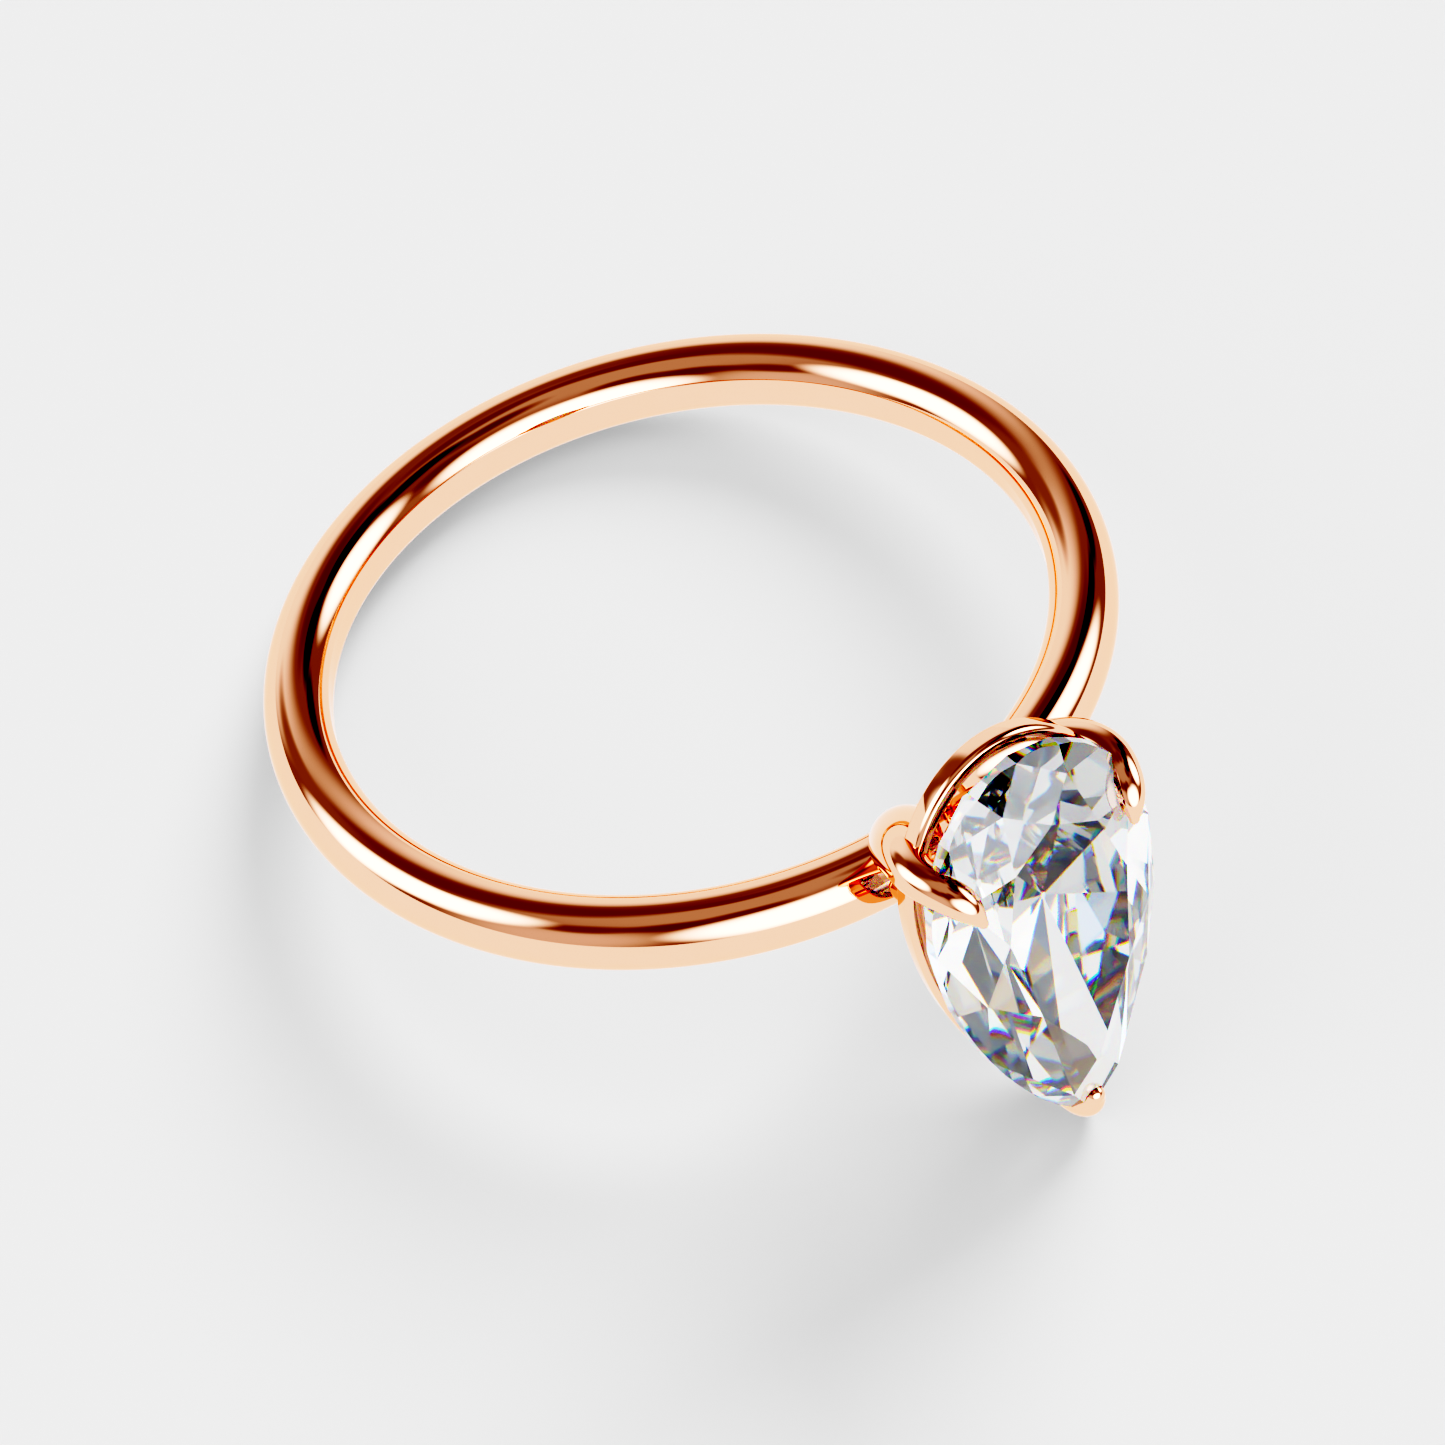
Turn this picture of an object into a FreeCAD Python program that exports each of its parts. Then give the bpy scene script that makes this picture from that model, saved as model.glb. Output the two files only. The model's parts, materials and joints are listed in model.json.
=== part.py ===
import FreeCAD
import Part
import math
import os

V = FreeCAD.Vector

# ------------------------------------------------------------------ driving dimensions (mm)
# The ring is drawn as it is worn: x runs along the band under the stone, y along the finger,
# z from the finger's centre up through the stone.  lay_down() then tips it on its side.
FINGER_R = 8.25          # finger hole, US size 6
BAND_WIDTH = 1.71        # along the finger
BAND_THICK = 1.54        # radial
COMFORT_RISE = 0.06      # how far the inner curve would bulge past the flat finger strip

GIRDLE_Z = 12.94         # middle of the stone's girdle
GIRDLE_THICK = 0.34
STONE_HALF_W = 2.97      # pear: half width
STONE_WIDEST_Y = 1.34    # where the pear is widest
STONE_ROUND = 3.78       # from the widest line to the round end
STONE_POINT = 7.43       # from the widest line to the sharp point
FLANK_LONG = 13.6        # flanks: stretched arcs, this half length along the finger
STONE_BLUNT = 0.34       # how much of the sharp point is taken off
CROWN_H = 0.90
TABLE_WIDE = 0.55        # table's width and length, as shares of the girdle's
TABLE_LONG = 0.66
TABLE_SHIFT = 0.47       # table's middle sits this far towards the round end
CROWN_MEET = 0.52        # how far up the crown its girdle facets reach
PAVILION_H = 2.50
PAVILION_MEET = 0.22     # how far down the pavilion its girdle facets reach
CULET_Y = 1.00
CULET_FLAT = 0.05

RAIL_TOP = 12.20
RAIL_TALL = 0.60
RAIL_OUT = -0.12         # rail's outer wall, relative to the girdle's outline
RAIL_THICK = 0.45
RAIL_ROUND = 0.20        # top edges
RAIL_TIP_ROUND = 0.50

BASE_HALF_X = 1.75       # saddle between band and claws
BASE_HALF_Y = 0.80
BASE_LOW = 8.60          # foot of the block it is hollowed from
BASE_TOP = 10.05
BASE_ROUND = 0.12        # top edge

# claw stations: centre x, y, z and radius, from the saddle up and over the girdle to the tip
SIDE_CLAW = [
    (0.76, 0.57, 9.16, 0.66),
    (1.23, 1.42, 9.90, 0.81),
    (1.87, 2.33, 10.77, 0.70),
    (2.40, 3.00, 11.68, 0.53),
    (2.60, 3.15, 12.51, 0.46),
    (2.45, 3.05, 13.23, 0.43),
    (2.23, 2.70, 13.75, 0.30),
    (2.11, 2.37, 13.91, 0.12),
]
POINT_CLAW = [
    (0.0, -0.35, 9.15, 0.55),
    (0.0, -1.75, 10.05, 0.58),
    (0.0, -3.60, 11.00, 0.52),
    (0.0, -5.14, 11.78, 0.49),
    (0.0, -5.64, 12.37, 0.44),
    (0.0, -5.70, 12.80, 0.38),
    (0.0, -5.46, 13.14, 0.34),
    (0.0, -5.12, 13.36, 0.24),
]
CLAW_SECTIONS = 22       # loft sections along a claw
TIP_TURNS = (30, 55, 80)  # degrees round the tip where its last sections lie

# leaning angle of the finger axis when the ring lies on its side, touching the floor with the
# point claw and with the band's far side
LEAN = 13.7


# ------------------------------------------------------------------ helpers
def lay_down(shape):
    """Worn position -> lying on its side, stone to the front (-Y), floor normal +Z."""
    out = shape.copy()
    out.rotate(V(0, 0, 0), V(1, 0, 0), 90.0 - LEAN)
    return out


def flank():
    """Stretched arc from the widest line to the point: centre's x offset and half width."""
    share = math.sqrt(1.0 - (STONE_POINT / FLANK_LONG) ** 2)
    offset = STONE_HALF_W * share / (1.0 - share)
    return offset, offset + STONE_HALF_W


def pear_wire(grow, z):
    """Pear outline at height z, moved outward by grow."""
    w, y0 = STONE_HALF_W + grow, STONE_WIDEST_Y
    offset, half = flank()
    half, long = half + grow, FLANK_LONG + grow
    turn = math.acos(offset / half)
    tip = V(0, y0 - long * math.sin(turn), z)
    mid = V(half * math.cos(turn / 2) - offset, y0 - long * math.sin(turn / 2), z)
    head = STONE_ROUND + grow
    if head > w:
        oval = Part.Ellipse(V(0, y0 + head, z), V(w, y0, z), V(0, y0, z))
    else:
        oval = Part.Ellipse(V(w, y0, z), V(0, y0 + head, z), V(0, y0, z))
    pieces = [arc_between(oval, V(w, y0, z), V(-w, y0, z), V(0, y0 + head, z))]
    for sign in (-1.0, 1.0):
        centre = V(-sign * offset, y0, z)
        side = Part.Ellipse(centre + V(half, 0, 0), centre + V(0, long, 0), centre)
        pieces.append(arc_between(side, V(sign * w, y0, z), tip, V(sign * mid.x, mid.y, z)))
    return Part.Wire(Part.__sortEdges__([e.toShape() for e in pieces]))


def arc_between(oval, start, end, through):
    """The part of an oval that runs between two of its points and passes a third."""
    p0, p1 = sorted([oval.parameter(start), oval.parameter(end)])
    p = oval.parameter(through)
    if p0 < p < p1:
        return Part.ArcOfEllipse(oval, p0, p1)
    return Part.ArcOfEllipse(oval, p1, p0 + 2.0 * math.pi)


def slab(grow, z0, z1):
    return Part.Face(pear_wire(grow, z0)).extrude(V(0, 0, z1 - z0))


def claw_body(stations):
    """Round-sectioned claw lofted along a smooth spine through its stations, with a round tip."""
    centres = [V(*row[:3]) for row in stations]
    lengths = [0.0]
    for p, q in zip(centres, centres[1:]):
        lengths.append(lengths[-1] + (q - p).Length)
    spine, girth = Part.BSplineCurve(), Part.BSplineCurve()
    spine.interpolate(Points=centres, Parameters=lengths)
    girth.interpolate(Points=[V(s, row[3], 0) for s, row in zip(lengths, stations)],
                      Parameters=lengths)
    side = V(centres[-1].y - centres[0].y, centres[0].x - centres[-1].x, 0)
    wires = []
    for k in range(CLAW_SECTIONS + 1):
        s = lengths[-1] * k / CLAW_SECTIONS
        along = V(*spine.tangent(s)[0])
        across = side - along * side.dot(along)
        wires.append(round_section(spine.value(s), along, across, girth.value(s).y))
    along.normalize()
    for turn in TIP_TURNS:
        ahead, narrower = math.sin(math.radians(turn)), math.cos(math.radians(turn))
        centre = centres[-1] + along * stations[-1][3] * ahead
        wires.append(round_section(centre, along, across, stations[-1][3] * narrower))
    return Part.makeLoft(wires, True, True)


def round_section(centre, along, across, radius):
    """Circle about centre, square to along."""
    circle = Part.makeCircle(radius)
    circle.Placement = FreeCAD.Placement(
        centre, FreeCAD.Rotation(across, along.cross(across), along, "ZXY"))
    return Part.Wire([circle])


# ------------------------------------------------------------------ pieces, worn position
def make_shank():
    """Oval-section band whose inner curve is flattened to a narrow finger strip."""
    middle = FINGER_R + BAND_THICK / 2.0
    a = BAND_WIDTH / 2.0
    b = BAND_THICK / 2.0
    ends = V(0, -a, middle), V(0, a, middle)
    centre = V(0, 0, middle)
    outside = Part.Ellipse(V(0, a, middle), V(0, 0, middle + b), centre)
    inside = Part.Ellipse(V(0, a, middle), V(0, 0, middle + b + COMFORT_RISE), centre)
    section = Part.Face(Part.Wire([
        arc_between(outside, *ends, V(0, 0, middle + b)).toShape(),
        arc_between(inside, *ends, V(0, 0, middle - b - COMFORT_RISE)).toShape(),
    ]))
    band = section.revolve(V(0, 0, 0), V(0, 1, 0), 360)
    hole = Part.makeCylinder(FINGER_R, 2 * BAND_WIDTH, V(0, -BAND_WIDTH, 0), V(0, 1, 0))
    return band.cut(hole)


def make_base(shank):
    """Oval saddle on the outside of the band, hollowed so it sits on it."""
    oval = Part.Ellipse(V(0, 0, BASE_LOW), BASE_HALF_X, BASE_HALF_Y)
    boss = Part.Face(Part.Wire([oval.toShape()])).extrude(V(0, 0, BASE_TOP - BASE_LOW))
    boss = boss.makeFillet(BASE_ROUND, flat_edges(boss, BASE_TOP))
    middle = FINGER_R + BAND_THICK / 2.0
    core = Part.makeCylinder(middle, 2 * BAND_WIDTH, V(0, -BAND_WIDTH, 0), V(0, 1, 0))
    return boss.cut(core).cut(shank)


def flat_edges(shape, z):
    """Edges that lie in the level plane at height z."""
    return [e for e in shape.Edges if max(abs(e.BoundBox.ZMin - z), abs(e.BoundBox.ZMax - z)) < 1e-3]


def tip_edge(shape):
    """The upright edge at the pear's point."""
    return min((e for e in shape.Edges if e.BoundBox.ZLength > 0.1), key=lambda e: e.BoundBox.YMin)


def make_rail():
    """Pear-shaped gallery rail with a flat outer wall and rounded top edges."""
    low, high = RAIL_TOP - RAIL_TALL, RAIL_TOP
    outer = slab(RAIL_OUT, low, high)
    outer = outer.makeFillet(RAIL_TIP_ROUND, [tip_edge(outer)])
    inner = slab(RAIL_OUT - RAIL_THICK, low - 1, high + 1)
    inner = inner.makeFillet(RAIL_TIP_ROUND / 2, [tip_edge(inner)])
    ring = outer.cut(inner)
    return ring.makeFillet(RAIL_ROUND, flat_edges(ring, high))


# ------------------------------------------------------------------ the diamond
def outline_point(turn):
    """Girdle point and its tangent; turn 0 = right, 90 = round end, 270 = point."""
    a = math.radians(turn)
    if turn % 360 <= 180:
        point = V(STONE_HALF_W * math.cos(a), STONE_WIDEST_Y + STONE_ROUND * math.sin(a), 0)
        return point, V(-STONE_HALF_W * math.sin(a), STONE_ROUND * math.cos(a), 0)
    if turn == 270:
        return V(0, STONE_WIDEST_Y - STONE_POINT + STONE_BLUNT, 0), V(1, 0, 0)
    offset, half = flank()
    sign = 1.0 if turn > 270 else -1.0
    share = (360.0 - turn if turn > 270 else turn - 180.0) / 90.0
    s = math.acos(offset / half) * share
    x, y = half * math.cos(s) - offset, STONE_WIDEST_Y - FLANK_LONG * math.sin(s)
    return V(sign * x, y, 0), V(-sign * half * math.sin(s), -FLANK_LONG * math.cos(s), 0)


def facet(solid, p, q, r):
    """Grind the flat facet through p, q and r on to the stone."""
    heart = V(0, CULET_Y, GIRDLE_Z)
    n = (q - p).cross(r - p)
    n.normalize()
    if (heart - p).dot(n) > 0:
        n = n * -1.0
    waste = Part.makeBox(40, 40, 20, V(-20, -20, 0))
    waste.Placement = FreeCAD.Placement(heart + n * (p - heart).dot(n),
                                        FreeCAD.Rotation(V(0, 0, 1), n))
    return solid.cut(waste)


def at(p, z):
    return V(p.x, p.y, z)


def meeting(main_a, main_b, z):
    """The point at height z on both main facets' planes."""
    (ga, ta, ia), (gb, tb, ib) = main_a, main_b
    na, nb = ta.cross(ia - ga), tb.cross(ib - gb)
    ra, rb = na.dot(ga) - na.z * z, nb.dot(gb) - nb.z * z
    det = na.x * nb.y - na.y * nb.x
    return V((ra * nb.y - rb * na.y) / det, (na.x * rb - nb.x * ra) / det, z)


def cut_side(stone, edge_z, far_z, inner_corner, reach, stars):
    """Cut the crown's or the pavilion's 8 mains, 16 girdle facets and, on a crown, 8 stars."""
    mains = []
    for turn in range(0, 360, 45):
        g, tangent = outline_point(turn)
        mains.append((at(g, edge_z), tangent, at(inner_corner(g), far_z)))
    for g, tangent, inner in mains:
        stone = facet(stone, g, g + tangent, inner)
    for i, main in enumerate(mains):
        other = mains[(i + 1) % 8]
        meet = meeting(main, other, edge_z + (far_z - edge_z) * reach)
        between = at(outline_point(45 * i + 22.5)[0], edge_z)
        stone = facet(stone, main[0], between, meet)
        stone = facet(stone, other[0], between, meet)
        if stars:
            stone = facet(stone, main[2], other[2], meet)
    return stone


def table_corner(g):
    return V(g.x * TABLE_WIDE, g.y * TABLE_LONG + TABLE_SHIFT, 0)


def culet(g):
    return V(0, CULET_Y, 0)


def make_diamond():
    """Pear brilliant: table, crown, thin upright girdle, pavilion and a tiny flat culet."""
    top_edge = GIRDLE_Z + GIRDLE_THICK / 2.0
    low_edge = GIRDLE_Z - GIRDLE_THICK / 2.0
    table_z, culet_z = top_edge + CROWN_H, low_edge - PAVILION_H
    ring = [at(outline_point(7.5 * i)[0], culet_z + CULET_FLAT) for i in range(48)]
    blank = Part.Face(Part.makePolygon(ring + ring[:1]))
    stone = blank.extrude(V(0, 0, table_z - culet_z - CULET_FLAT))
    stone = cut_side(stone, top_edge, table_z, table_corner, CROWN_MEET, True)
    return cut_side(stone, low_edge, culet_z, culet, PAVILION_MEET, False)


# ------------------------------------------------------------------ assembly
def build():
    """Every piece in its worn position, each cut back where it meets the ones before it."""
    shank = make_shank()
    parts = {"diamond": make_diamond(), "gallery_rail": make_rail(),
             "head_base": make_base(shank), "shank": shank}
    claws = {"claw_left": [(-x, y, z, r) for x, y, z, r in SIDE_CLAW],
             "claw_right": SIDE_CLAW, "claw_point": POINT_CLAW}
    for name, stations in claws.items():
        body = claw_body(stations)
        for other in parts.values():
            body = body.cut(other)
        parts[name] = body
    return parts


def main():
    os.makedirs("parts", exist_ok=True)
    for name, shape in build().items():
        largest = max(shape.Solids, key=lambda solid: solid.Volume)
        lay_down(largest).exportStep("parts/%s.step" % name)


main()
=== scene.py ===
import json
import math

import bmesh
import bpy
import numpy as np
from mathutils import Matrix, Vector


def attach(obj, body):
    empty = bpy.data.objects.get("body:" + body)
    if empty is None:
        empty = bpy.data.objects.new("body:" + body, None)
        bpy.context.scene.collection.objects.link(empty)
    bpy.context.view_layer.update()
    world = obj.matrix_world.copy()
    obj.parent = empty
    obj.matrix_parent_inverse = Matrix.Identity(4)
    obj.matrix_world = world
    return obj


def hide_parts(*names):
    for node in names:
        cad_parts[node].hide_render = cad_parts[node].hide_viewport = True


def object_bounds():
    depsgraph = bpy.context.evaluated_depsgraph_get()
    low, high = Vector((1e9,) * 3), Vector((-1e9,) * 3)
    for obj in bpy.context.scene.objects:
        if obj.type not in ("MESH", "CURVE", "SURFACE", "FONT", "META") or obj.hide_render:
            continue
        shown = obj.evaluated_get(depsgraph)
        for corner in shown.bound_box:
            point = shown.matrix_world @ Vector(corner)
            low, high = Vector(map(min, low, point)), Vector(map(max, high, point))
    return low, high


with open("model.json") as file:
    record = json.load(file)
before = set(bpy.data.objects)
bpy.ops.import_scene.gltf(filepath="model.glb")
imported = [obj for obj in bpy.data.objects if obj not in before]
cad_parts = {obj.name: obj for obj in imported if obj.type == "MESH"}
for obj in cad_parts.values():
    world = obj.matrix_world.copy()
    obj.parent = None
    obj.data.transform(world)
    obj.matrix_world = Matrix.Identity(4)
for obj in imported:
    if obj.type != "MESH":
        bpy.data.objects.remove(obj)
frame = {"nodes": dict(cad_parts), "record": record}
cad_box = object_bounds()

MM = 0.001
MOUNT = frame["record"]["mounts"][0]

# The ring's own directions: across the head, along the finger, and out through the stone.
ACROSS = Vector((1, 0, 0))
FINGER = Vector(MOUNT["axis"]).normalized()
OUT = ACROSS.cross(FINGER)

# ------------------------------------------------------------------ sizes (mm)
FINGER_R = MOUNT["dims"]["r_mm"]
BAND_WIDTH = 1.71
BAND_THICK = 1.54
COMFORT_RISE = 0.06      # how far the inner curve would bulge past the flat finger strip
BAND_STEPS = 360         # faces around the band, and along each stretch of its section
OUTSIDE_STEPS, INNER_STEPS, STRIP_STEPS = 40, 14, 5
BAND_BEVEL = 0.02        # along the edges of the finger strip
BAND_BEVEL_ANGLE = 25    # edges sharper than this are bevelled, degrees

# The stone's outline is half an ellipse round the head and two long elliptical flanks to the point.
STONE_HALF_W = 2.97
STONE_WIDEST_Y = 1.34    # where the outline is widest, along the finger
STONE_ROUND = 3.78       # from the widest line to the round end
STONE_POINT = 7.43       # from the widest line to the point
FLANK_LONG = 13.6        # half axis of a flank's ellipse, along the finger
HEAD_STEPS, FLANK_STEPS, POINT_STEPS = 96, 60, 18

RAIL_TOP = 12.20
RAIL_TALL = 0.60
RAIL_OUT = -0.12         # rail's outer wall, relative to the girdle
RAIL_THICK = 0.45
RAIL_ROUND = 0.20
RAIL_FOOT_ROUND = 0.06
RAIL_DRAFT = 10          # the outer wall leans in towards the band, degrees
RAIL_TIP_ROUND = 0.50    # the rail's outer radius round the stone's point
CORNER_STEPS = 10        # steps of each rounded corner of its section

SADDLE_HALF_X = 1.75
SADDLE_HALF_Y = 0.80
SADDLE_TOP = 10.05
SADDLE_ROUND = 0.12
SADDLE_SIDES = 96
SADDLE_ROUND_STEPS = 6

# claw stations: centre across, along the finger and out, and radius
SIDE_CLAW = [
    (0.76, 0.57, 9.16, 0.66),
    (1.23, 1.42, 9.90, 0.81),
    (1.87, 2.33, 10.77, 0.70),
    (2.40, 3.00, 11.68, 0.53),
    (2.60, 3.15, 12.51, 0.46),
    (2.45, 3.05, 13.23, 0.43),
    (2.23, 2.70, 13.75, 0.30),
    (2.11, 2.37, 13.91, 0.12),
]
POINT_CLAW = [
    (0.0, -0.35, 9.15, 0.55),
    (0.0, -1.75, 10.05, 0.58),
    (0.0, -3.60, 11.00, 0.52),
    (0.0, -5.14, 11.78, 0.49),
    (0.0, -5.64, 12.37, 0.44),
    (0.0, -5.70, 12.80, 0.38),
    (0.0, -5.46, 13.14, 0.34),
    (0.0, -5.12, 13.36, 0.24),
]
CLAW_STEPS = 72          # sections along a claw
CLAW_SIDES = 40
TIP_STEPS = 8            # steps of the rounding at a claw's end

# ------------------------------------------------------------------ rose gold
GOLD_DULL, GOLD_BRIGHT = (0.89, 0.54, 0.42, 1), (0.92, 0.56, 0.44, 1)
GOLD_EDGE_TINT = (1.0, 0.86, 0.78, 1)
GOLD_ROUGHNESS = (0.02, 0.06)
GOLD_HAZE_SCALE, GOLD_HAZE_DETAIL = 900.0, 4.0

# ------------------------------------------------------------------ diamond
DIAMOND_IOR = 2.42
DIAMOND_FIRE = [((1, 0, 0), 2.38), ((0, 1, 0), DIAMOND_IOR), ((0, 0, 1), 2.48)]
DIAMOND_KEEPS = (0.77, 0.83)     # light kept at an inner face, from its cloudiest to its clearest
DIAMOND_HAZE_SCALE, DIAMOND_HAZE_DETAIL = 400.0, 2.0

# ------------------------------------------------------------------ camera
CAMERA_AZIMUTH = -36.3   # degrees round from the stone's side
CAMERA_HEIGHT = 54.74    # degrees above the table
CAMERA_ROLL = -2.94
CAMERA_DISTANCE = 210.85
LENS = 232.8
SENSOR = 36.0
AIM_RIGHT = 0.752        # the view's middle, from the finger hole's centre
AIM_DOWN = 1.799

# ------------------------------------------------------------------ studio
TABLE_HALF = 1500
TABLE_TONE = 0.8
MIRRORED_TABLE = 1.78    # how bright the table is in the metal's reflections

STUDIO_GREY = 0.53       # walls between the lamps
LAMP_WHITE = 4.6
# patches of the studio, each laid over those before it: (azimuth, height) of its middle, the radius
# it is even to and the radius it ends at, all in degrees, and its brightness
STUDIO = [
    ((-120, 78), 8, 45, 0.85),
    ((150, 84), 2, 30, 0.85),
    ((-78, 14), 4, 34, 1.15),
    ((163, 0), 16, 38, 1.7),
    ((-86, 43), 3, 15, 0.46),
    ((-62, 52), 4, 15, 0.42),
    ((-42, 63), 3, 12, 0.44),
    ((-172, 50), 8, 24, 0.45),
    ((-170, 22), 6, 16, 0.55),
    ((140, 62), 4, 12, 0.45),
    ((170, 64), 4, 12, 0.45),
    ((132, 42), 3, 12, 0.42),
    ((42, 49), 3, 13, 0.42),
    ((45, 22), 3, 12, 0.66),
    ((66, 74), 3, 13, 0.40),
    ((92, 62), 4, 12, 0.2),
    ((107, 47), 4, 12, 0.15),
    ((115, 32), 4, 11, 0.15),
    ((118, 16), 3, 10, 0.2),
    ((-119, 29), 5, 25, LAMP_WHITE),
    ((-134, 20), 5, 25, LAMP_WHITE),
    ((-20, 27), 12, 35, LAMP_WHITE),
    ((2, 28), 12, 36, LAMP_WHITE),
    ((76, 28), 6, 25, LAMP_WHITE),
]
# lamps over the table: name, azimuth, height and spread in degrees, strength, throws a shadow
LAMPS = [
    ("key", 115, 36, 34, 2.9, True),
    ("side", -100, 25, 60, 1.1, True),
    ("fill", 0, 90, 60, 3.4, False),
]
# print contrast: pairs of scene light and how bright it shows, up to the light that shows white
GRADE_WHITE = 2.3
GRADE = [(0.27, 0.001), (0.305, 0.01), (0.34, 0.03), (0.39, 0.07), (0.44, 0.13), (0.51, 0.22),
         (0.604, 0.33), (0.717, 0.45), (0.877, 0.6), (1.11, 0.75), (1.47, 0.87), (1.89, 0.95)]


def place(across, finger, out):
    """A point given across the head, along the finger and out from the finger's centre, in mm."""
    return (ACROSS * across + FINGER * finger + OUT * out) * MM


# ------------------------------------------------------------------ mesh helpers
def new_piece(name, bm, node, material):
    """A smooth-shaded metal piece that stands for a CAD node.  Light that has passed into the stone
    doesn't see it, because gold mirrored in the facets would turn the stone pink."""
    bmesh.ops.remove_doubles(bm, verts=bm.verts, dist=1e-8)
    bmesh.ops.recalc_face_normals(bm, faces=bm.faces)
    mesh = bpy.data.meshes.new(name)
    bm.to_mesh(mesh)
    bm.free()
    mesh.polygons.foreach_set("use_smooth", [True] * len(mesh.polygons))
    piece = bpy.data.objects.new(name, mesh)
    bpy.context.scene.collection.objects.link(piece)
    mesh.materials.append(material)
    piece.visible_transmission = False
    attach(piece, "root")
    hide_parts(node)
    return piece


def skin(rows, closed_rows=False, caps=False):
    """Quads over rows of points.  Each row is a closed loop; closed_rows joins the last row to the
    first, and caps closes the two end rows."""
    bm = bmesh.new()
    loops = [[bm.verts.new(p) for p in row] for row in rows]
    pairs = list(zip(loops, loops[1:]))
    if closed_rows:
        pairs.append((loops[-1], loops[0]))
    for a, b in pairs:
        for i in range(len(a)):
            j = (i + 1) % len(a)
            bm.faces.new((a[i], a[j], b[j], b[i]))
    if caps:
        bm.faces.new(loops[0])
        bm.faces.new(loops[-1])
    return bm


def spline(knots, values, at):
    """Natural cubic spline through values at knots, read at the given places."""
    knots, values = np.array(knots, float), np.array(values, float)
    h = np.diff(knots)
    n = len(knots)
    system = np.eye(n)
    right = np.zeros_like(values)
    slope = np.diff(values, axis=0) / h[:, None]
    for i in range(1, n - 1):
        system[i, i - 1:i + 2] = h[i - 1], 2 * (h[i - 1] + h[i]), h[i]
        right[i] = 6 * (slope[i] - slope[i - 1])
    bend = np.linalg.solve(system, right)
    k = np.clip(np.searchsorted(knots, at, side="right") - 1, 0, n - 2)
    t = (np.array(at) - knots[k])[:, None]
    hk = h[k][:, None]
    return (values[k] + t * (slope[k] - hk * (2 * bend[k] + bend[k + 1]) / 6)
            + t ** 2 * bend[k] / 2 + t ** 3 * (bend[k + 1] - bend[k]) / (6 * hk))


# ------------------------------------------------------------------ band
def band_profile():
    """The band's section as (along the finger, radius): oval, with a flat finger strip."""
    middle, half = FINGER_R + BAND_THICK / 2, BAND_WIDTH / 2
    depth = BAND_THICK / 2
    inner = depth + COMFORT_RISE
    strip_turn = math.asin(depth / inner)
    outside = [(half * math.cos(a), middle + depth * math.sin(a))
               for a in np.linspace(0, math.pi, OUTSIDE_STEPS + 1)]
    flank = [(-half * math.cos(a), middle - inner * math.sin(a))
             for a in np.linspace(0, strip_turn, INNER_STEPS + 1)[1:]]
    strip = flank[-1][0]
    middle_strip = [(strip * (1 - 2 * k / STRIP_STEPS), FINGER_R) for k in range(1, STRIP_STEPS)]
    other = [(-y, r) for y, r in reversed(flank)]
    return outside + flank + middle_strip + other


def make_band(gold):
    """The profile turned round the finger, with a tiny polished bevel along its edges."""
    rows = []
    for k in range(BAND_STEPS):
        turn = 2 * math.pi * k / BAND_STEPS
        rows.append([place(r * math.sin(turn), y, r * math.cos(turn)) for y, r in band_profile()])
    bm = skin(rows, closed_rows=True)
    band = new_piece("band", bm, "shank", gold)
    bevel = band.modifiers.new("polished_edges", "BEVEL")
    bevel.width = BAND_BEVEL * MM
    bevel.segments = 3
    bevel.limit_method = "ANGLE"
    bevel.angle_limit = math.radians(BAND_BEVEL_ANGLE)


# ------------------------------------------------------------------ gallery rail
def pear_points(inset):
    """Points and outward directions round a pear this far inside the girdle, with the directions
    fanned out at its point, so that a parallel outline is rounded there."""
    w, head = STONE_HALF_W - inset, STONE_ROUND - inset
    share = math.sqrt(1 - (STONE_POINT / FLANK_LONG) ** 2)
    offset = STONE_HALF_W * share / (1 - share)
    half, long = offset + STONE_HALF_W - inset, FLANK_LONG - inset
    turn = math.acos(offset / half)
    found = []
    for a in np.linspace(0, math.pi, HEAD_STEPS + 1):
        found.append(((w * math.cos(a), STONE_WIDEST_Y + head * math.sin(a)),
                      (math.cos(a) / w, math.sin(a) / head)))
    left = []
    for s in np.linspace(0, turn, FLANK_STEPS + 1)[1:]:
        left.append(((offset - half * math.cos(s), STONE_WIDEST_Y - long * math.sin(s)),
                     (-math.cos(s) / half, -math.sin(s) / long)))
    found += left
    tip, last = left[-1]
    from_turn = math.atan2(last[1], last[0])
    for a in np.linspace(from_turn, -math.pi - from_turn, POINT_STEPS + 1)[1:-1]:
        found.append((tip, (math.cos(a), math.sin(a))))
    found += [((-x, y), (-nx, ny)) for (x, y), (nx, ny) in reversed(left)]
    return [((x, y), (nx / math.hypot(nx, ny), ny / math.hypot(nx, ny)))
            for (x, y), (nx, ny) in found]


def rail_profile():
    """The rail's section as (outward, height): a strip with rounded corners, its outer wall at 0."""
    corners = [(0, RAIL_TOP, 0, RAIL_ROUND), (-RAIL_THICK, RAIL_TOP, 90, RAIL_ROUND),
               (-RAIL_THICK, RAIL_TOP - RAIL_TALL, 180, RAIL_FOOT_ROUND),
               (0, RAIL_TOP - RAIL_TALL, 270, RAIL_FOOT_ROUND)]
    points = []
    for x, z, start, r in corners:
        cx = x - r if x == 0 else x + r
        cz = z - r if z == RAIL_TOP else z + r
        for a in np.linspace(start, start + 90, CORNER_STEPS + 1):
            points.append((cx + r * math.cos(math.radians(a)), cz + r * math.sin(math.radians(a))))
    return points


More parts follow.
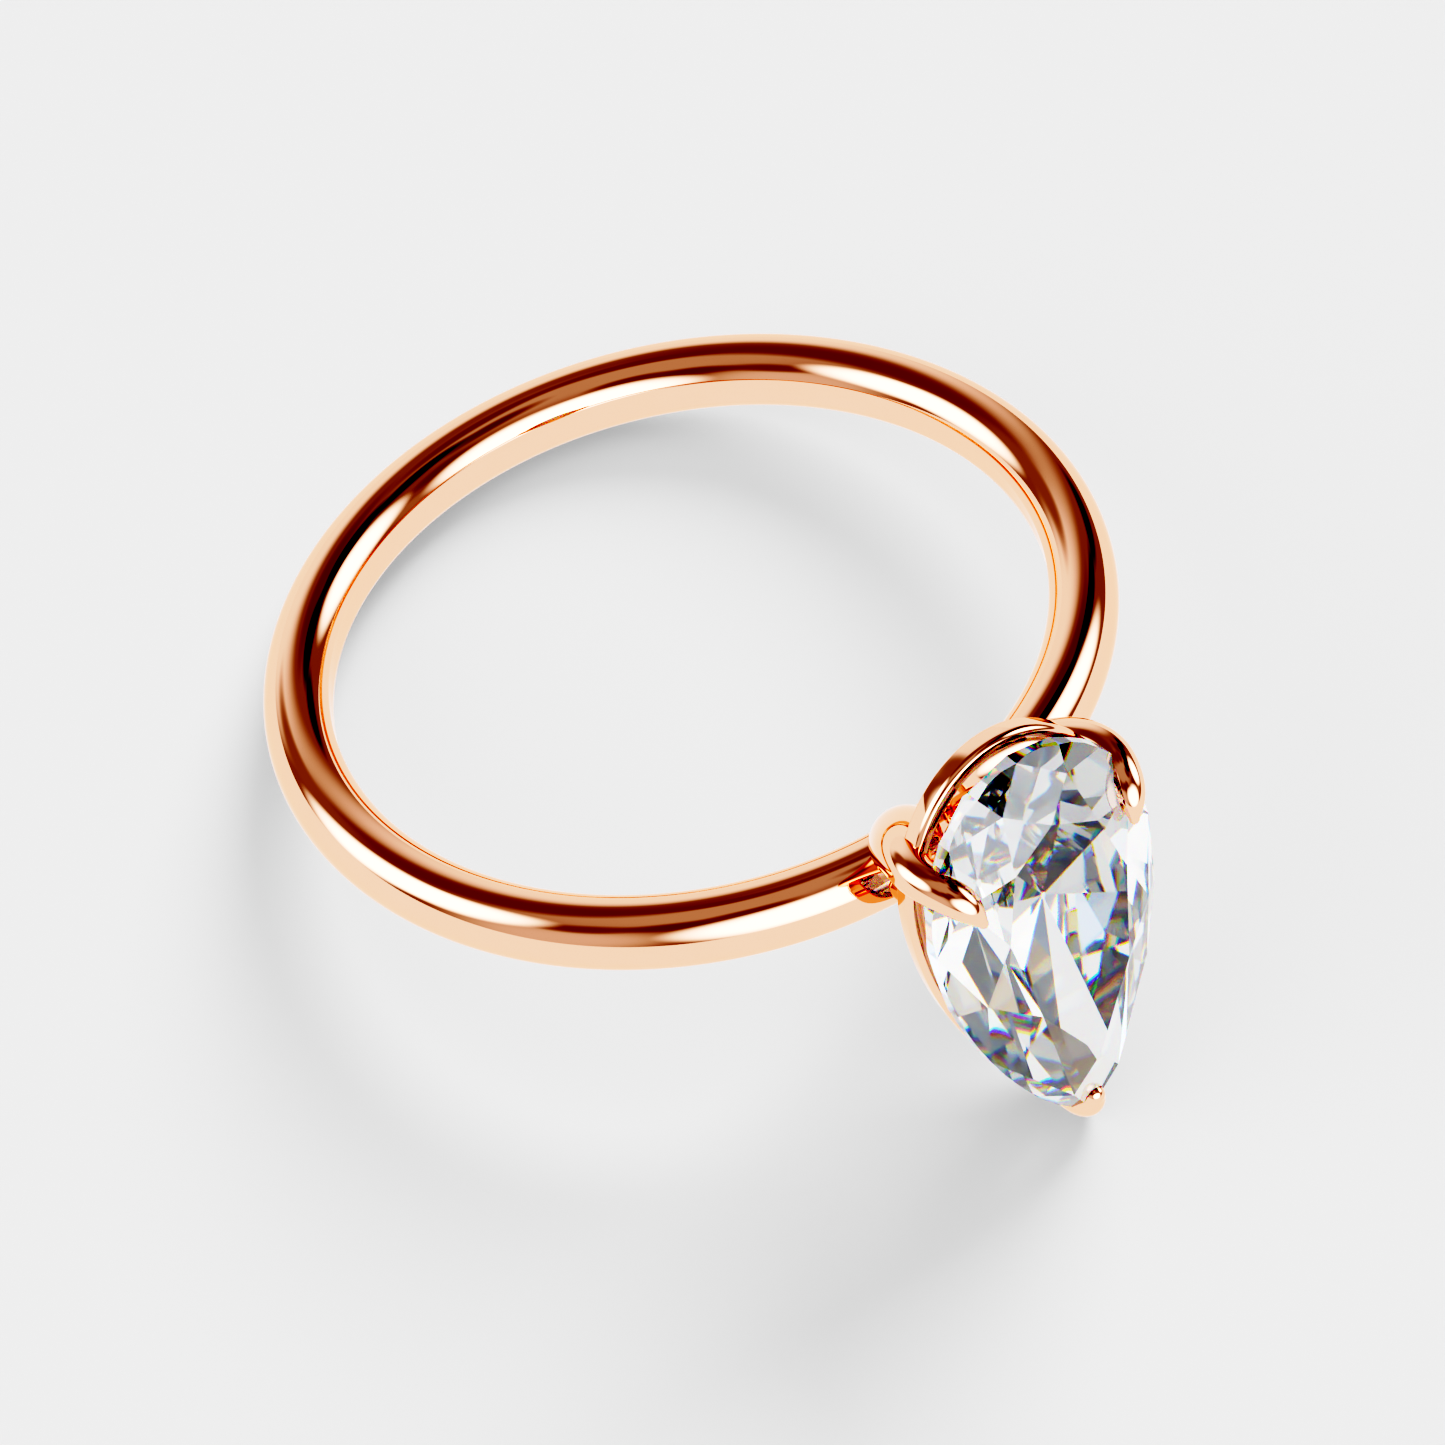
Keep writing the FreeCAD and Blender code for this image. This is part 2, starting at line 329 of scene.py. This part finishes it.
def make_rail(gold):
    """The strip carried round the pear outline, leaning in towards the band."""
    rows = []
    middle, lean = RAIL_TOP - RAIL_TALL / 2, math.tan(math.radians(RAIL_DRAFT))
    profile = [(RAIL_TIP_ROUND + out + (z - middle) * lean, z) for out, z in rail_profile()]
    for (x, y), (nx, ny) in pear_points(-RAIL_OUT + RAIL_TIP_ROUND):
        rows.append([place(x + nx * out, y + ny * out, z) for out, z in profile])
    new_piece("rail", skin(rows, closed_rows=True), "gallery_rail", gold)


# ------------------------------------------------------------------ claws and saddle
def make_claw(name, node, stations, gold):
    """Round claw along a smooth line through its stations, with a rounded tip."""
    stations = np.array(stations)
    gaps = np.linalg.norm(np.diff(stations[:, :3], axis=0), axis=1)
    knots = np.concatenate([[0], np.cumsum(gaps)])
    where = np.linspace(0, knots[-1], CLAW_STEPS)
    line = spline(knots, stations, where)
    ahead = np.gradient(line[:, :3], axis=0)
    ahead /= np.linalg.norm(ahead, axis=1)[:, None]
    tip_r = line[-1, 3]
    turns = np.linspace(0, math.pi / 2, TIP_STEPS + 1)[1:-1]
    rounded = [(line[-1, :3] + ahead[-1] * tip_r * math.sin(a), ahead[-1], tip_r * math.cos(a))
               for a in turns]
    sections = [(p[:3], d, p[3]) for p, d in zip(line, ahead)] + rounded
    first = stations[-1, :3] - stations[0, :3]
    side = np.array([first[1], -first[0], 0.0])
    rows = []
    for centre, along, radius in sections:
        u = side - along * side.dot(along)
        u /= np.linalg.norm(u)
        v = np.cross(along, u)
        rows.append([place(*(centre + radius * (u * math.cos(a) + v * math.sin(a))))
                     for a in np.linspace(0, 2 * math.pi, CLAW_SIDES, endpoint=False)])
    new_piece(name, skin(rows, caps=True), node, gold)


def make_saddle(gold):
    """Oval foot between the band and the claws, with a rounded top."""
    foot = FINGER_R + BAND_THICK / 2
    shoulder = SADDLE_TOP - SADDLE_ROUND
    levels = [(foot, 0.0), (shoulder, 0.0)]
    levels += [(shoulder + SADDLE_ROUND * math.sin(a), SADDLE_ROUND * (1 - math.cos(a)))
               for a in np.linspace(0, math.pi / 2, SADDLE_ROUND_STEPS + 1)[1:]]
    rows = []
    for out, inset in levels:
        half_x, half_y = SADDLE_HALF_X - inset, SADDLE_HALF_Y - inset
        rows.append([place(half_x * math.cos(a), half_y * math.sin(a), out)
                     for a in np.linspace(0, 2 * math.pi, SADDLE_SIDES, endpoint=False)])
    new_piece("saddle", skin(rows, caps=True), "head_base", gold)


# ------------------------------------------------------------------ materials
def new_material(name):
    """A material with its node tree's nodes and links, and the shader that it starts with."""
    material = bpy.data.materials.new(name)
    material.use_nodes = True
    nodes, links = material.node_tree.nodes, material.node_tree.links
    return material, nodes, links, nodes["Principled BSDF"]


def haze_tone(nodes, links, scale, detail, low, high):
    """Fine noise through the piece, and a colour that it moves between low and high."""
    place_in = nodes.new("ShaderNodeTexCoord")
    haze = nodes.new("ShaderNodeTexNoise")
    haze.inputs["Scale"].default_value = scale
    haze.inputs["Detail"].default_value = detail
    links.new(place_in.outputs["Object"], haze.inputs["Vector"])
    tone = nodes.new("ShaderNodeValToRGB")
    tone.color_ramp.elements[0].color = low
    tone.color_ramp.elements[1].color = high
    links.new(haze.outputs["Fac"], tone.inputs["Fac"])
    return haze.outputs["Fac"], tone.outputs["Color"]


def rose_gold():
    """Mirror-polished rose gold with the faintest polishing haze."""
    material, nodes, links, shader = new_material("polished_rose_gold")
    shader.inputs["Metallic"].default_value = 1.0
    shader.inputs["Specular Tint"].default_value = GOLD_EDGE_TINT
    haze, tone = haze_tone(nodes, links, GOLD_HAZE_SCALE, GOLD_HAZE_DETAIL, GOLD_DULL, GOLD_BRIGHT)
    rough = nodes.new("ShaderNodeMapRange")
    rough.inputs["To Min"].default_value = GOLD_ROUGHNESS[0]
    rough.inputs["To Max"].default_value = GOLD_ROUGHNESS[1]
    links.new(haze, rough.inputs["Value"])
    links.new(rough.outputs["Result"], shader.inputs["Roughness"])
    links.new(tone, shader.inputs["Base Color"])
    return material


def diamond_glass():
    """Colourless diamond: each colour of light bends by its own amount as it enters, which gives
    the fire.  Inside, all colours mirror off the faces alike and lose a little at each."""
    material, nodes, links, shader = new_material("clear_diamond")
    nodes.remove(shader)

    def glass(ior):
        node = nodes.new("ShaderNodeBsdfGlass")
        node.inputs["Roughness"].default_value = 0.0
        node.inputs["IOR"].default_value = ior
        return node

    entering = None
    for colour, ior in DIAMOND_FIRE:
        one_colour = glass(ior)
        one_colour.inputs["Color"].default_value = (*colour, 1)
        part = one_colour.outputs["BSDF"]
        if entering is not None:
            add = nodes.new("ShaderNodeAddShader")
            links.new(entering, add.inputs[0])
            links.new(part, add.inputs[1])
            part = add.outputs["Shader"]
        entering = part
    inner = glass(DIAMOND_IOR)
    cloudy, clear = [(keeps, keeps, keeps, 1) for keeps in DIAMOND_KEEPS]
    _, tone = haze_tone(nodes, links, DIAMOND_HAZE_SCALE, DIAMOND_HAZE_DETAIL, cloudy, clear)
    links.new(tone, inner.inputs["Color"])
    face = nodes.new("ShaderNodeNewGeometry")
    blend = nodes.new("ShaderNodeMixShader")
    links.new(face.outputs["Backfacing"], blend.inputs["Fac"])
    links.new(entering, blend.inputs[1])
    links.new(inner.outputs["BSDF"], blend.inputs[2])
    links.new(blend.outputs["Shader"], nodes["Material Output"].inputs["Surface"])
    return material


def dress_diamond():
    """The CAD's own stone, in glass, with its facets flat."""
    diamond = frame["nodes"]["diamond"]
    diamond.data.materials.clear()
    diamond.data.materials.append(diamond_glass())
    diamond.data.polygons.foreach_set("use_smooth", [False] * len(diamond.data.polygons))


# ------------------------------------------------------------------ table, lights, camera
def heading(azimuth, height):
    """Unit vector to a place in the studio: azimuth 0 is the stone's side and 90 is to its right;
    height is in degrees above the table."""
    a, h = math.radians(azimuth), math.radians(height)
    return Vector((math.sin(a) * math.cos(h), -math.cos(a) * math.cos(h), math.sin(h)))


def make_table():
    """The pale table that the ring rests on.  What is polished mirrors it as an even pale sheet."""
    low, half = cad_box[0].z, TABLE_HALF * MM
    bm = bmesh.new()
    corners = [(-half, -half), (half, -half), (half, half), (-half, half)]
    bm.faces.new([bm.verts.new((x, y, low)) for x, y in corners])
    mesh = bpy.data.meshes.new("table")
    bm.to_mesh(mesh)
    bm.free()
    table = bpy.data.objects.new("table", mesh)
    bpy.context.scene.collection.objects.link(table)
    material, nodes, links, shader = new_material("pale_table")
    shader.inputs["Base Color"].default_value = (TABLE_TONE, TABLE_TONE, TABLE_TONE, 1)
    shader.inputs["Roughness"].default_value = 0.9
    shader.inputs["Specular IOR Level"].default_value = 0.0
    sheet = nodes.new("ShaderNodeEmission")
    sheet.inputs["Color"].default_value = (1, 1, 1, 1)
    sheet.inputs["Strength"].default_value = MIRRORED_TABLE
    path = nodes.new("ShaderNodeLightPath")
    blend = nodes.new("ShaderNodeMixShader")
    links.new(path.outputs["Is Glossy Ray"], blend.inputs["Fac"])
    links.new(shader.outputs["BSDF"], blend.inputs[1])
    links.new(sheet.outputs["Emission"], blend.inputs[2])
    links.new(blend.outputs["Shader"], nodes["Material Output"].inputs["Surface"])
    mesh.materials.append(material)


def patch(nodes, links, direction, middle, core, edge):
    """How far a direction lies inside a round soft patch of the studio: 1 inside core degrees of
    its middle, falling to 0 at edge degrees."""
    dot = nodes.new("ShaderNodeVectorMath")
    dot.operation = "DOT_PRODUCT"
    dot.inputs[1].default_value = heading(*middle)
    links.new(direction, dot.inputs[0])
    fall = nodes.new("ShaderNodeMapRange")
    fall.interpolation_type = "SMOOTHSTEP"
    fall.inputs["From Min"].default_value = math.cos(math.radians(edge))
    fall.inputs["From Max"].default_value = math.cos(math.radians(core))
    links.new(dot.outputs["Value"], fall.inputs["Value"])
    return fall.outputs["Result"]


def make_world():
    """The studio round the ring: soft round lamps between dark gaps, under a dim ceiling.  Only
    what is polished or clear sees it; the table is lit by make_lamps()."""
    world = bpy.data.worlds.new("studio")
    bpy.context.scene.world = world
    world.use_nodes = True
    nodes, links = world.node_tree.nodes, world.node_tree.links
    direction = nodes.new("ShaderNodeTexCoord").outputs["Generated"]
    level = None
    for middle, core, edge, brightness in STUDIO:
        share = patch(nodes, links, direction, middle, core, edge)
        blend = nodes.new("ShaderNodeMix")
        blend.data_type = "FLOAT"
        blend.inputs["B"].default_value = brightness
        links.new(share, blend.inputs["Factor"])
        if level is None:
            blend.inputs["A"].default_value = STUDIO_GREY
        else:
            links.new(level, blend.inputs["A"])
        level = blend.outputs["Result"]
    links.new(level, nodes["Background"].inputs["Strength"])
    nodes["Background"].inputs["Color"].default_value = (1, 1, 1, 1)
    world.cycles_visibility.diffuse = False


def make_lamps():
    """Soft lamps that light the table and throw the ring's shadow."""
    for name, azimuth, height, spread, strength, shadow in LAMPS:
        data = bpy.data.lights.new(name, "SUN")
        data.angle = math.radians(spread)
        data.energy = strength
        data.use_shadow = shadow
        lamp = bpy.data.objects.new(name, data)
        lamp.rotation_euler = heading(azimuth, height).to_track_quat("Z", "Y").to_euler()
        lamp.visible_glossy = False
        lamp.visible_transmission = False
        bpy.context.scene.collection.objects.link(lamp)


def light_paths():
    """Enough bounces for light to find its way out of the stone, and no bright spots thrown on the
    table by the metal or the stone."""
    cycles = bpy.context.scene.cycles
    cycles.max_bounces = 32
    cycles.transmission_bounces = 32
    cycles.glossy_bounces = 12
    cycles.caustics_reflective = False
    cycles.caustics_refractive = False


def grade():
    """Print contrast: deep tones are pressed down and bright ones roll off."""
    view = bpy.context.scene.view_settings
    view.view_transform = "Standard"
    view.use_curve_mapping = True
    mapping = view.curve_mapping
    mapping.white_level = (GRADE_WHITE, GRADE_WHITE, GRADE_WHITE)
    curve = mapping.curves[3]
    for light, shown in GRADE:
        curve.points.new(light / GRADE_WHITE, shown)
    mapping.update()


def make_camera():
    """The photograph's camera, by where it stands and what it aims at."""
    view = heading(CAMERA_AZIMUTH, CAMERA_HEIGHT)
    level_right = Vector((0, 0, 1)).cross(view).normalized()
    level_up = view.cross(level_right)
    turn = Matrix.Rotation(math.radians(CAMERA_ROLL), 3, view)
    right, up = turn @ level_right, turn @ level_up
    eye = view * CAMERA_DISTANCE * MM
    aim = (right * AIM_RIGHT - up * AIM_DOWN) * MM
    back = (eye - aim).normalized()
    right = up.cross(back).normalized()
    up = back.cross(right)
    data = bpy.data.cameras.new("camera")
    data.lens = LENS
    data.sensor_width = SENSOR
    data.clip_start = 0.01
    data.clip_end = 10.0
    camera = bpy.data.objects.new("camera", data)
    camera.matrix_world = Matrix.Translation(eye) @ Matrix((right, up, back)).transposed().to_4x4()
    bpy.context.scene.collection.objects.link(camera)
    bpy.context.scene.camera = camera


# ------------------------------------------------------------------ build
gold = rose_gold()
make_band(gold)
make_rail(gold)
make_saddle(gold)
make_claw("left_claw", "claw_left", [(-x, y, z, r) for x, y, z, r in SIDE_CLAW], gold)
make_claw("right_claw", "claw_right", SIDE_CLAW, gold)
make_claw("tip_claw", "claw_point", POINT_CLAW, gold)
dress_diamond()
make_table()
make_world()
make_lamps()
make_camera()
light_paths()
grade()
